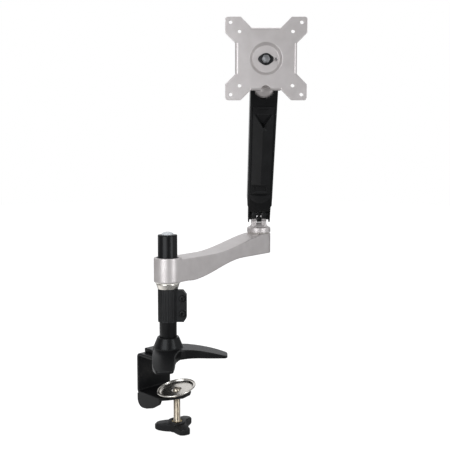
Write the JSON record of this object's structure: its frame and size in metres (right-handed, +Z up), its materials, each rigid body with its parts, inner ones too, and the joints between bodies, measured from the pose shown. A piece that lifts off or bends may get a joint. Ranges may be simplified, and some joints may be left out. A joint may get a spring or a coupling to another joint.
{
  "type": "monitor arm",
  "caption": "Desk-clamp monitor arm: telescoping post, swivelling cast lower arm, sprung lifting upper arm and a tilting, turning VESA plate.",
  "frame": {"origin": "on the post's axis, in the plane of the desk top that the foot stands on", "axes": "+Z up along the post, -Y towards the middle of the desk (the way the clamp opens), X along the desk's edge"},
  "size_m": [0.3213, 0.1939, 0.5877],
  "materials": {
    "silver_paint": "satin silver paint over a casting or pressed steel",
    "black_paint": "satin black powder coat",
    "black_plastic": "fine-grained black moulding",
    "chrome": "bright plate",
    "zinc": "warm zinc plate",
    "steel": "turned or ground steel",
    "acetal": "natural white bearing plastic",
    "rubber": "soft pad",
    "pale_cap": "pale domed cap",
    "brass": "knurled insert"
  },
  "bodies": {
    "base": {"desk_pad": "rubber", "foot_casting": "black_paint", "clamp_bracket": "black_paint", "bracket_screws": "steel", "jaw_insert": "steel", "inner_tube": "black_paint", "post_set_screw": "steel"},
    "screw_carriage": {"neck_washer": "steel"},
    "clamp_screw": {"clamp_screw": "zinc", "clamp_knob": "black_plastic", "knob_insert": "brass"},
    "pressure_disc": {"pressure_disc": "chrome", "ball_seat": "acetal"},
    "post": {"outer_tube": "black_paint", "tube_liner": "acetal", "post_cap": "black_plastic", "cap_insert": "pale_cap", "lock_sleeve": "black_plastic", "lock_screws": "black_paint", "lock_nuts": "black_paint", "chrome_collar": "chrome", "hub_thrust_washer": "acetal"},
    "lower_arm": {"lower_arm_casting": "silver_paint", "hub_bushes": "black_plastic", "elbow_bushes": "black_plastic", "elbow_cap": "silver_paint"},
    "elbow": {"elbow_knuckle": "silver_paint", "elbow_shaft": "steel", "elbow_nut": "steel", "elbow_disc_springs": "steel", "elbow_thrust_washer": "acetal", "pivot_shroud": "black_plastic", "linkage_pins": "steel"},
    "upper_arm": {"upper_arm_shell": "black_paint", "keel_cover": "black_plastic", "lower_end_cover": "black_plastic", "lift_axle": "steel", "head_axle": "steel", "lift_friction_washers": "black_plastic", "gas_cylinder": "black_paint", "cylinder_pin": "steel"},
    "spring_rod": {"gas_rod": "black_paint"},
    "level_link": {"level_link": "black_paint"},
    "head_knuckle": {"head_knuckle": "silver_paint", "head_link_pin": "steel", "swivel_washer": "acetal", "swivel_bolt": "steel"},
    "head_yoke": {"head_yoke": "silver_paint", "tilt_bolt": "steel", "tilt_nut": "steel", "tilt_washers": "acetal"},
    "tilt_block": {"tilt_block": "black_paint", "rotate_bolt": "steel", "rotate_rear_washer": "acetal", "rotate_front_washer": "black_plastic", "rotate_nut": "steel"},
    "plate": {"vesa_plate": "silver_paint"}
  },
  "joints": [
    {"name": "screw_travel", "type": "slide", "parent": "base", "child": "screw_carriage", "axis": [0, 0, 1], "range_m": [0, 0.0195]},
    {"name": "screw_spin", "type": "hinge", "parent": "screw_carriage", "child": "clamp_screw", "pos_m": [0, -0.0183, -0.07], "axis": [0, 0, 1], "range_deg": [0, 4680]},
    {"name": "disc_tilt", "type": "hinge", "parent": "screw_carriage", "child": "pressure_disc", "pos_m": [0, -0.0183, -0.0454], "axis": [0.2588, 0.9659, 0], "range_deg": [0, 24]},
    {"name": "post_height", "type": "slide", "parent": "base", "child": "post", "axis": [0, 0, 1], "range_m": [-0.02, 0.06]},
    {"name": "lower_arm_swivel", "type": "hinge", "parent": "post", "child": "lower_arm", "pos_m": [0, 0, 0.128], "axis": [0, 0, 1], "continuous": true},
    {"name": "elbow_swivel", "type": "hinge", "parent": "lower_arm", "child": "elbow", "pos_m": [0.23161, 0.03338, 0.147], "axis": [0, 0, 1], "range_deg": [-120, 120]},
    {"name": "arm_lift", "type": "hinge", "parent": "elbow", "child": "upper_arm", "pos_m": [0.23161, 0.03338, 0.197], "axis": [-0.7071, 0.7071, 0], "range_deg": [-66, 0]},
    {"name": "head_level", "type": "hinge", "parent": "upper_arm", "child": "head_knuckle", "pos_m": [0.13908, -0.05915, 0.39099], "axis": [-0.7071, 0.7071, 0], "range_deg": [0, 66]},
    {"name": "link_swing", "type": "hinge", "parent": "elbow", "child": "level_link", "pos_m": [0.23409, 0.03586, 0.20528], "axis": [-0.7071, 0.7071, 0], "range_deg": [-66, 0]},
    {"name": "spring_stroke", "type": "slide", "parent": "upper_arm", "child": "spring_rod", "axis": [-0.3954, -0.3954, 0.829], "range_m": [0, 0.0109]},
    {"name": "head_swivel", "type": "hinge", "parent": "head_knuckle", "child": "head_yoke", "pos_m": [0.13272, -0.06552, 0.41099], "axis": [0, 0, 1], "range_deg": [-90, 90]},
    {"name": "head_tilt", "type": "hinge", "parent": "head_yoke", "child": "tilt_block", "pos_m": [0.12494, -0.07329, 0.427], "axis": [-0.7071, 0.7071, 0], "range_deg": [-10, 45]},
    {"name": "plate_rotate", "type": "hinge", "parent": "tilt_block", "child": "plate", "pos_m": [0.10585, -0.09238, 0.427], "axis": [-0.7071, -0.7071, 0], "range_deg": [-90, 90]}
  ],
  "couplings": [
    {"joint": "screw_spin", "follows": "screw_travel", "rad_per_m": 4188.8},
    {"joint": "head_level", "follows": "arm_lift", "ratio": -1},
    {"joint": "link_swing", "follows": "arm_lift", "ratio": 1},
    {"joint": "spring_stroke", "follows": "arm_lift", "m_per_rad": -0.009456}
  ]
}
